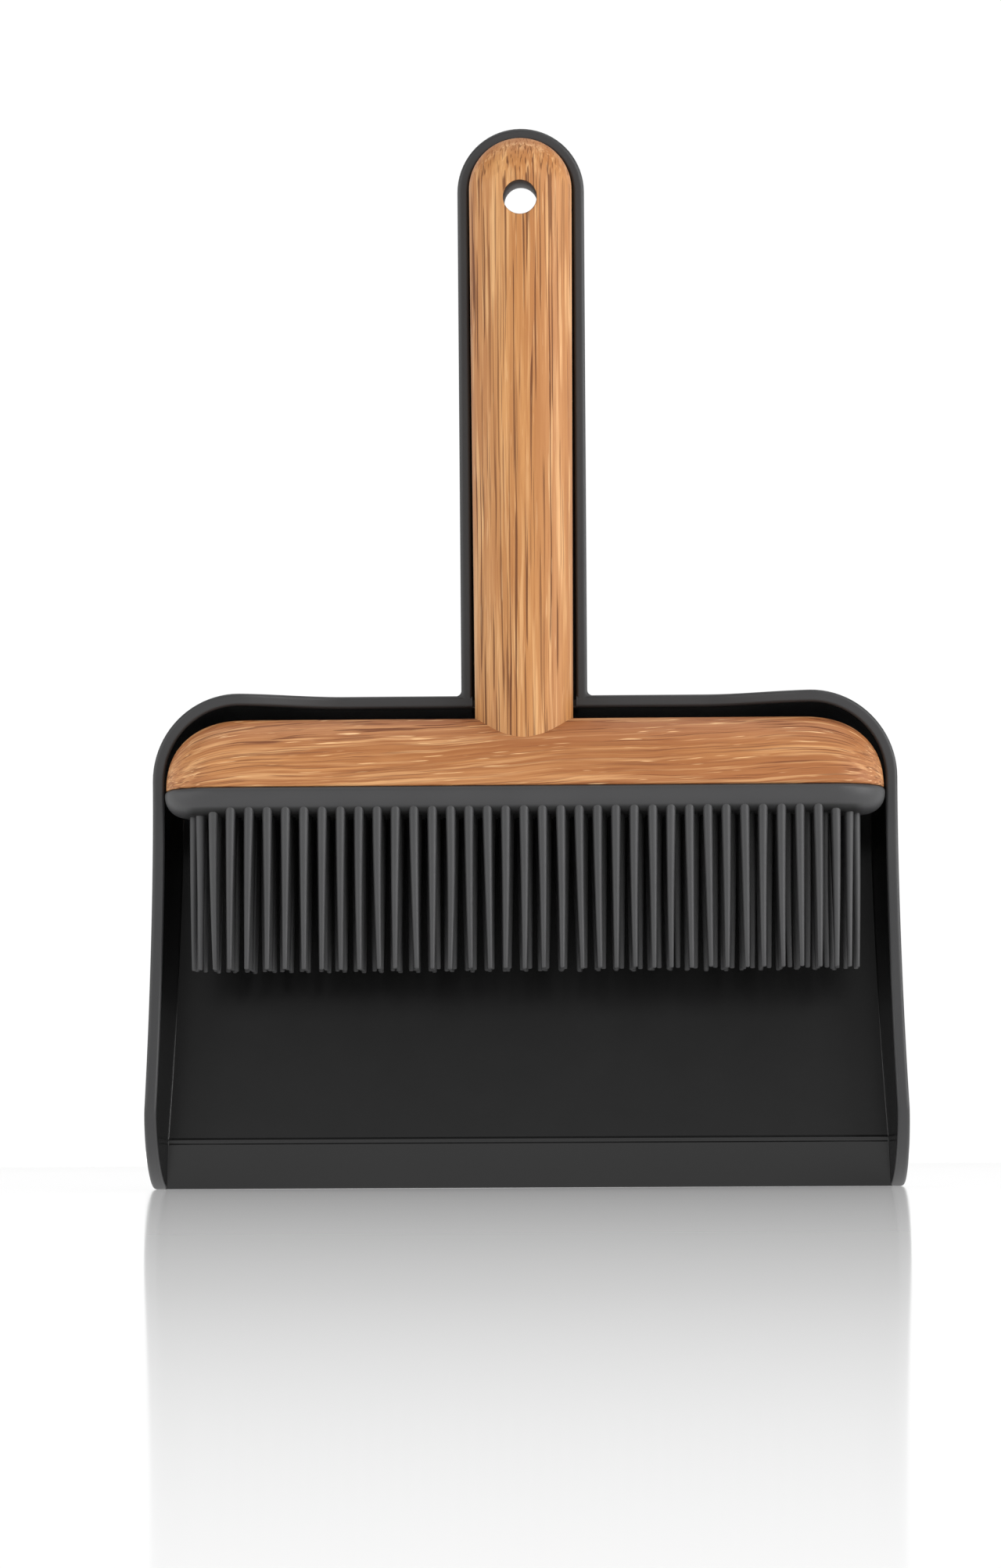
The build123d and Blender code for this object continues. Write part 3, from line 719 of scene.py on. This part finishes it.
def handle():
    isl = Island()
    low = -19.0
    sides = [lerp(low, TRAY_END, i / 16) for i in range(16)]
    ends = [pi * i / 44 for i in range(45)]

    def loop(f, off):
        """Right foot, round the end, left foot, at a share f of the half width less an offset."""
        pts = [(handle_w(s) * f - off, s) for s in sides]
        r = HANDLE_WT * f - off
        pts += [(r * cos(th), TRAY_END + r * sin(th)) for th in ends]
        pts += [(-(handle_w(s) * f - off), s) for s in reversed(sides)]
        return pts

    cols = []

    def col(f, off, n, k=0.0):
        cols.append(isl.ring([at(s, n + k * crown_h(s), x) for x, s in loop(f, off)]))

    col(1.0, EDGE_R + 0.6, BACK)
    for cx, cy in arc(EDGE_R, 10, 270, 180):
        col(1.0, EDGE_R + cx, BACK + EDGE_R + cy)
    col(1.0, 0.0, BACK + EDGE_R + 2.5)
    angles = [i * 4.0 for i in range(13)]
    for a in angles:
        col(cos(radians(a)), 0.0, 0.0, sin(radians(a)))
    for c0, c1 in zip(cols, cols[1:]):
        isl.strip(c0, c1, 0, closed=False)

    # the crowned front inside the last column, with the hole's rounded edge on the same surface
    f_in = cos(radians(angles[-1]))
    outline = loop(f_in, 0.0)
    fs = [cos(radians(a)) for a in (54, 60, 66, 72, 78, 84, 90)]
    fs = fs[:-1] + [0.0] + [-f for f in reversed(fs[:-1])]
    bottom = [(handle_w(low) * -f, low) for f in fs]
    nh = 48
    rim = HOLE_R + 0.5
    hole_xy = [(rim * cos(2 * pi * i / nh), HOLE_S + rim * sin(2 * pi * i / nh)) for i in range(nh)]
    pts = outline + bottom + hole_xy
    n_out = len(outline) + len(bottom)
    edges = [(i, (i + 1) % n_out) for i in range(n_out)] + [(n_out + i, n_out + (i + 1) % nh) for i in range(nh)]
    inner = []
    for rr, k in ((6.6, 44), (7.7, 36)):
        inner += [(rr * cos(2 * pi * i / k), HOLE_S + rr * sin(2 * pi * i / k)) for i in range(k)]
    for s in sides[1:] + [TRAY_END - 6.5, TRAY_END - 13, TRAY_END]:
        inner += [(handle_w(s) * f, s) for f in fs]
    for f in [q for q in fs if q > 0.05]:
        inner += [(HANDLE_WT * f * cos(th), TRAY_END + HANDLE_WT * f * sin(th)) for th in ends[1:-1:2]]
    keep = []
    lim = HANDLE_WT * f_in - 0.4
    for x, s in inner:
        d = sqrt(x * x + (s - HOLE_S) ** 2)
        if (d > 8.3 or abs(d - 6.6) < 0.01 or abs(d - 7.7) < 0.01) and (s <= TRAY_END or sqrt(x * x + (s - TRAY_END) ** 2) < lim):
            keep.append((x, s))
    vv, _, ff, _, _, _ = delaunay_2d_cdt([Vector(p) for p in pts + keep], edges, [], 0, 1e-4)
    base = isl.ring([at(p.y, crown(p.x, p.y), p.x) for p in vv])
    for f in ff:
        cx = sum(vv[i].x for i in f) / len(f)
        cs = sum(vv[i].y for i in f) / len(f)
        reach = handle_w(cs) * f_in - abs(cx) if cs <= TRAY_END else HANDLE_WT * f_in - sqrt(cx * cx + (cs - TRAY_END) ** 2)
        if reach > 0.02 and sqrt(cx * cx + (cs - HOLE_S) ** 2) > rim * cos(pi / nh) - 1e-3:
            isl.face([base[i] for i in f], 0)
    rings = []
    for dr, dn in ((0.5, 0.0), (0.22, 0.07), (0.07, 0.22), (0.0, 0.5)):
        ring = []
        for i in range(nh):
            a = 2 * pi * i / nh
            x, s = (HOLE_R + dr) * cos(a), HOLE_S + (HOLE_R + dr) * sin(a)
            ring.append(at(s, crown(x, s) - dn, x))
        rings.append(isl.ring(ring))
    for dr, n in ((0.0, 0.0), (0.0, BACK + 0.45), (0.12, BACK + 0.12), (0.45, BACK)):
        rings.append(isl.ring([at(HOLE_S + (HOLE_R + dr) * sin(2 * pi * i / nh), n, (HOLE_R + dr) * cos(2 * pi * i / nh))
                               for i in range(nh)]))
    # the hole's wall takes the near-black oak copy, painted shade
    for k, (r0, r1) in enumerate(zip(rings, rings[1:])):
        isl.strip(r0, r1, 1 if k > 1 else 0)
    isl.fill([cols[0], rings[-1]], 0)
    foot = isl.ring([at(s, crown(x, s), x) for x, s in bottom])
    isl.face([c[0] for c in cols] + foot[::-1] + [c[-1] for c in reversed(cols)], 0)
    return isl


hnd = make("oak_grip", [handle()], [oak_v.m, oak_bore_shaded.m])
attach(hnd, "hand_brush")
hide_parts("oak_handle")


# ------------------------------------------------------------------ oak head
def head():
    isl = Island()
    x0 = HEAD_L - HEAD_END
    xs = []
    for i in range(25):
        th = pi / 2 * i / 24
        xs.append(x0 + HEAD_END * sin(th))
    xs[-1] = HEAD_L
    inner = [x0 * i / 24 for i in range(24)]
    xs = inner + xs
    xs = [-x for x in reversed(xs[1:])] + xs
    rows = []
    rt = HEAD_T + 0.3
    for x in xs:
        u = max(0.0, (abs(x) - x0) / HEAD_END)
        h = HEAD_H * max(0.0, 1 - u ** 2.3) ** (1 / 2.3)
        v = max(0.0, abs(x) - (HEAD_L - rt))
        t = HEAD_T * sqrt(max(0.0, 1 - (v / rt) ** 2.05))
        pts = []
        n = 28
        edge = min(0.7, h * 0.3, t * 0.3)
        pts.append(P(x, -(t - edge), HEAD_Z0))
        for i in range(1, 4):
            a = pi / 2 * i / 3
            pts.append(P(x, -(t - edge + edge * sin(a)), HEAD_Z0 + edge * (1 - cos(a))))
        e2 = edge
        for i in range(1, n):
            a = pi * i / n
            pts.append(P(x, -t * cos(a), HEAD_Z0 + e2 + max(0.0, h - e2) * sin(a)))
        for i in range(3, 0, -1):
            a = pi / 2 * i / 3
            pts.append(P(x, (t - edge + edge * sin(a)), HEAD_Z0 + edge * (1 - cos(a))))
        pts.append(P(x, (t - edge), HEAD_Z0))
        rows.append(isl.ring(pts))
    for r0, r1 in zip(rows, rows[1:]):
        isl.strip(r0, r1, 0)
    isl.face(rows[0][::-1], 0)
    isl.face(rows[-1], 0)
    return isl


hd = make("oak_crosspiece", [head()], [oak_h.m], 40)
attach(hd, "hand_brush")
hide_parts("oak_head")


# ------------------------------------------------------------------ silicone pad and bristles
def slot_loop(half_l, half_t, n_arc=24, n_side=28):
    c = half_l - half_t
    out = []
    for i in range(n_arc):
        th = -pi / 2 + pi * i / n_arc
        out.append((c + half_t * cos(th), half_t * sin(th), -cos(th), -sin(th)))
    for i in range(n_side):
        out.append((lerp(c, -c, i / n_side), half_t, 0.0, -1.0))
    for i in range(n_arc):
        th = pi / 2 + pi * i / n_arc
        out.append((-c + half_t * cos(th), half_t * sin(th), -cos(th), -sin(th)))
    for i in range(n_side):
        out.append((lerp(-c, c, i / n_side), -half_t, 0.0, 1.0))
    return out


def pad():
    isl = Island()
    z0, z1 = HEAD_Z0 - PAD_H, HEAD_Z0
    prof = [(PAD_R + 0.5, z0)]
    for cx, cy in arc(1.0, 10, 270, 180):
        prof.append((PAD_R * (1 + cx), z0 + PAD_R * (1 + cy)))
    for cx, cy in arc(PAD_TOP_R, 6, 180, 90):
        prof.append((PAD_TOP_R + cx, z1 - PAD_TOP_R + cy))
    prof.append((PAD_TOP_R + 0.5, z1))
    loop = slot_loop(PAD_L, PAD_T)
    cols = [isl.ring([P(x + nx * o, y + ny * o, z) for x, y, nx, ny in loop]) for o, z in prof]
    for c0, c1 in zip(cols, cols[1:]):
        isl.strip(c0, c1, 0)
    isl.face(cols[0], 0)
    isl.face(cols[-1], 0)
    return isl


def ring_points(r, half):
    if r < 0.01:
        n = 2 * int(round(half / PITCH))
        return [(-half + 2 * half * i / n, 0.0) for i in range(n + 1)]
    total = 4 * half + 2 * pi * r
    n = 2 * int(round(total / PITCH / 2))
    pts = []
    first = (2 * pi * r + 3 * half) % (total / n) if r > 10 else 0.5 * total / n
    for i in range(n):
        d = first + i * total / n - pi * r / 2
        if d < pi * r / 2:
            a = (d + pi * r / 2) / r - pi / 2
            pts.append((half + r * cos(a), r * sin(a)))
        elif d < pi * r / 2 + 2 * half:
            pts.append((half - (d - pi * r / 2), r))
        elif d < 3 * pi * r / 2 + 2 * half:
            a = pi / 2 + (d - pi * r / 2 - 2 * half) / r
            pts.append((-half + r * cos(a), r * sin(a)))
        else:
            pts.append((-half + (d - 3 * pi * r / 2 - 2 * half), -r))
    return pts


def bristle(bx, by, rnd, mat):
    isl = Island()
    root, tip = HEAD_Z0 - PAD_H + 3.2, TIP_Z + rnd.uniform(0.05, 0.45)
    lean_x, lean_y = max(-0.8, min(0.8, rnd.gauss(0, 0.33))), max(-0.6, min(0.6, rnd.gauss(0, 0.25)))
    bow = rnd.gauss(0, 0.12)
    rt = TIP_R * rnd.uniform(0.96, 1.04)
    ln = root - tip
    prof = [(u / 10, lerp(ROOT_R, rt, u / 10)) for u in range(10)]
    prof.append((1 - 0.45 / ln, rt))
    prof += [(1 - 0.22 / ln, rt * 0.93), (1 - 0.06 / ln, rt * 0.72), (1.0, rt * 0.38)]
    rings = []
    for u, rad in prof:
        cx = bx + lean_x * u ** 1.6 + bow * sin(pi * u)
        cy = by + lean_y * u ** 1.6
        z = root - ln * u
        rings.append(isl.ring([P(cx + rad * cos(2 * pi * j / 14), cy + rad * sin(2 * pi * j / 14), z) for j in range(14)]))
    for r0, r1 in zip(rings, rings[1:]):
        isl.strip(r0, r1, mat)
    isl.face(rings[0][::-1], mat)
    isl.face(rings[-1], mat)
    return isl


rnd = random.Random(41)
bristles = []
for r in RINGS:
    for bx, by in ring_points(r, STRAIGHT):
        # the front of the outer ring keeps the plain silicone; its back half and the inner rows get the shaded copy
        # (painted shade)
        bristles.append(bristle(bx, by, rnd, 0 if r > 10 and (by < 1 or abs(bx) > STRAIGHT + 6) else 1))
pd = make("silicone_pad", [pad()], [silicone_pad.m], 40)
br = make("silicone_bristles", bristles, [silicone.m, silicone_shaded_rows.m], 60)
for ob in (pd, br):
    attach(ob, "hand_brush")
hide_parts("silicone_bristle_pad")
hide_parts("silicone_bristle_pad")

# ------------------------------------------------------------------ stage
fl_m = bpy.data.meshes.new("floor")
bmf = bmesh.new()
n = 24
grid = [[bmf.verts.new((lerp(-12, 12, i / n), lerp(-12, 12, j / n), -0.00002)) for i in range(n + 1)] for j in range(n + 1)]
for j in range(n):
    for i in range(n):
        bmf.faces.new((grid[j][i], grid[j][i + 1], grid[j + 1][i + 1], grid[j + 1][i]))
bmf.to_mesh(fl_m)
bmf.free()
floor = bpy.data.objects.new("floor", fl_m)
bpy.context.scene.collection.objects.link(floor)
fm = bpy.data.materials.new("pale_floor")
fm.use_nodes = True
nt = fm.node_tree
nt.nodes.clear()
out = nt.nodes.new("ShaderNodeOutputMaterial")
dif = nt.nodes.new("ShaderNodeBsdfDiffuse")
dif.inputs["Color"].default_value = (0.46, 0.46, 0.46, 1)
gls = nt.nodes.new("ShaderNodeBsdfGlossy")
gls.inputs["Color"].default_value = (1, 1, 1, 1)
gls.inputs["Roughness"].default_value = 0.07
fr = nt.nodes.new("ShaderNodeFresnel")
fr.inputs["IOR"].default_value = 1.5
pw = nt.nodes.new("ShaderNodeMath")
pw.operation = "POWER"
pw.inputs[1].default_value = 4.4
near = nt.nodes.new("ShaderNodeMapRange")                # no mirror in the far floor
near.inputs["From Min"].default_value = 1.5
near.inputs["From Max"].default_value = 2.5
near.inputs["To Min"].default_value = 1.0
near.inputs["To Max"].default_value = 0.0
fmul = nt.nodes.new("ShaderNodeMath")
fmul.operation = "MULTIPLY"
ms = nt.nodes.new("ShaderNodeMixShader")
glow = nt.nodes.new("ShaderNodeEmission")                # keeps the pale sweep white without a hard light from above
glow.inputs["Color"].default_value = (1, 1, 1, 1)
fpos = nt.nodes.new("ShaderNodeTexCoord")
flen = nt.nodes.new("ShaderNodeVectorMath")
flen.operation = "LENGTH"
nt.links.new(fpos.outputs["Object"], flen.inputs[0])
fsep = nt.nodes.new("ShaderNodeSeparateXYZ")
nt.links.new(fpos.outputs["Object"], fsep.inputs[0])


def span(source, lo, hi, v0, v1):
    mr = nt.nodes.new("ShaderNodeMapRange")
    for key, v in (("From Min", lo), ("From Max", hi), ("To Min", v0), ("To Max", v1)):
        mr.inputs[key].default_value = v
    nt.links.new(source, mr.inputs["Value"])
    return mr.outputs["Result"]


fmax = nt.nodes.new("ShaderNodeMath")
fmax.operation = "MAXIMUM"
nt.links.new(span(fsep.outputs["Y"], -0.9, 0.9, 0.45, 1.0), fmax.inputs[0])
nt.links.new(span(flen.outputs["Value"], 1.4, 2.3, 0.0, 1.0), fmax.inputs[1])
nt.links.new(fmax.outputs[0], glow.inputs["Strength"])
both = nt.nodes.new("ShaderNodeAddShader")
nt.links.new(dif.outputs[0], both.inputs[0])
nt.links.new(glow.outputs[0], both.inputs[1])
nt.links.new(fr.outputs[0], pw.inputs[0])
nt.links.new(flen.outputs["Value"], near.inputs["Value"])
nt.links.new(pw.outputs[0], fmul.inputs[0])
nt.links.new(near.outputs["Result"], fmul.inputs[1])
nt.links.new(fmul.outputs[0], ms.inputs[0])
nt.links.new(both.outputs[0], ms.inputs[1])
nt.links.new(gls.outputs[0], ms.inputs[2])
nt.links.new(ms.outputs[0], out.inputs["Surface"])
fl_m.materials.append(fm)

# ------------------------------------------------------------------ light
world = bpy.data.worlds.new("studio")
bpy.context.scene.world = world
world.use_nodes = True
wt = world.node_tree
bg = wt.nodes["Background"]
tc = wt.nodes.new("ShaderNodeTexCoord")
sx = wt.nodes.new("ShaderNodeSeparateXYZ")
wt.links.new(tc.outputs["Generated"], sx.inputs[0])


def wmath(op, a, b=0.0, c=None, clamp=False):
    nd = wt.nodes.new("ShaderNodeMath")
    nd.operation = op
    nd.use_clamp = clamp
    for i, v in enumerate((a, b, c)):
        if v is None:
            continue
        if hasattr(v, "is_output"):
            wt.links.new(v, nd.inputs[i])
        else:
            nd.inputs[i].default_value = v
    return nd.outputs[0]


# bright round the horizon and far up behind the object, darker above that, bright overhead
behind = wmath("MULTIPLY_ADD", sx.outputs["Y"], 2.0, 0.4, True)
limit = wmath("MULTIPLY_ADD", behind, 0.40, 0.17)
low = wmath("SUBTRACT", 1.0, wmath("MULTIPLY", wmath("SUBTRACT", sx.outputs["Z"], limit), 7.4, clamp=True))
high = wmath("MULTIPLY_ADD", sx.outputs["Z"], 5.0, -3.6, True)
level = wmath("MAXIMUM", low, wmath("MULTIPLY", high, 1.0))
strength = wmath("MULTIPLY_ADD", level, 0.93, 0.09)
wt.links.new(strength, bg.inputs["Strength"])
bg.inputs["Color"].default_value = (1, 1, 1, 1)


def area(name, loc, target, size, power, size_y=None):
    ld = bpy.data.lights.new(name, "AREA")
    ld.shape = "RECTANGLE"
    ld.size, ld.size_y = size, size_y or size
    ld.energy = power
    ob = bpy.data.objects.new(name, ld)
    ob.location = loc
    ob.rotation_mode = "QUATERNION"
    ob.rotation_quaternion = (Vector(target) - Vector(loc)).to_track_quat("-Z", "Y")
    bpy.context.scene.collection.objects.link(ob)
    return ob


area("key", (1.0, -1.3, 0.95), (0, 0, 0.16), 1.0, 11.4, 0.8)
area("fill", (-1.0, -1.3, 0.75), (0, 0, 0.16), 0.8, 5.4, 0.8)
area("side_right", (1.5, -0.55, 0.35), (0, 0, 0.18), 0.7, 11.5, 0.9)
area("side_left", (-1.5, -0.5, 0.35), (0, 0, 0.18), 0.7, 4.0, 0.9)
area("top", (0.0, 0.1, 2.0), (0, 0, 0), 1.8, 8.0, 1.4)

# ------------------------------------------------------------------ camera
cam_d = bpy.data.cameras.new("camera")
cam_d.sensor_width = 36.0
cam_d.lens = 5200.0 * 36.0 / 2005.0
cam_d.clip_start, cam_d.clip_end = 0.05, 60.0
cam = bpy.data.objects.new("camera", cam_d)
bpy.context.scene.collection.objects.link(cam)
CX, CY, CZ, YAW, PITCH_A, ROLL = 18.50611, -1292.37762, 14.0, 0.02022, 0.08846, -0.00491
fwd = Vector((-sin(YAW), cos(YAW), 0))
right = Vector((cos(YAW), sin(YAW), 0))
up = Vector((0, 0, 1))
f2 = fwd * cos(PITCH_A) + up * sin(PITCH_A)
u2 = up * cos(PITCH_A) - fwd * sin(PITCH_A)
r3 = right * cos(ROLL) + u2 * sin(ROLL)
u3 = u2 * cos(ROLL) - right * sin(ROLL)
rot = Matrix((r3, u3, -f2)).transposed()
cam.rotation_mode = "QUATERNION"
cam.rotation_quaternion = rot.to_quaternion()
cam.location = P(CX, CY, CZ)
bpy.context.scene.camera = cam
bpy.context.scene.view_settings.view_transform = "Standard"
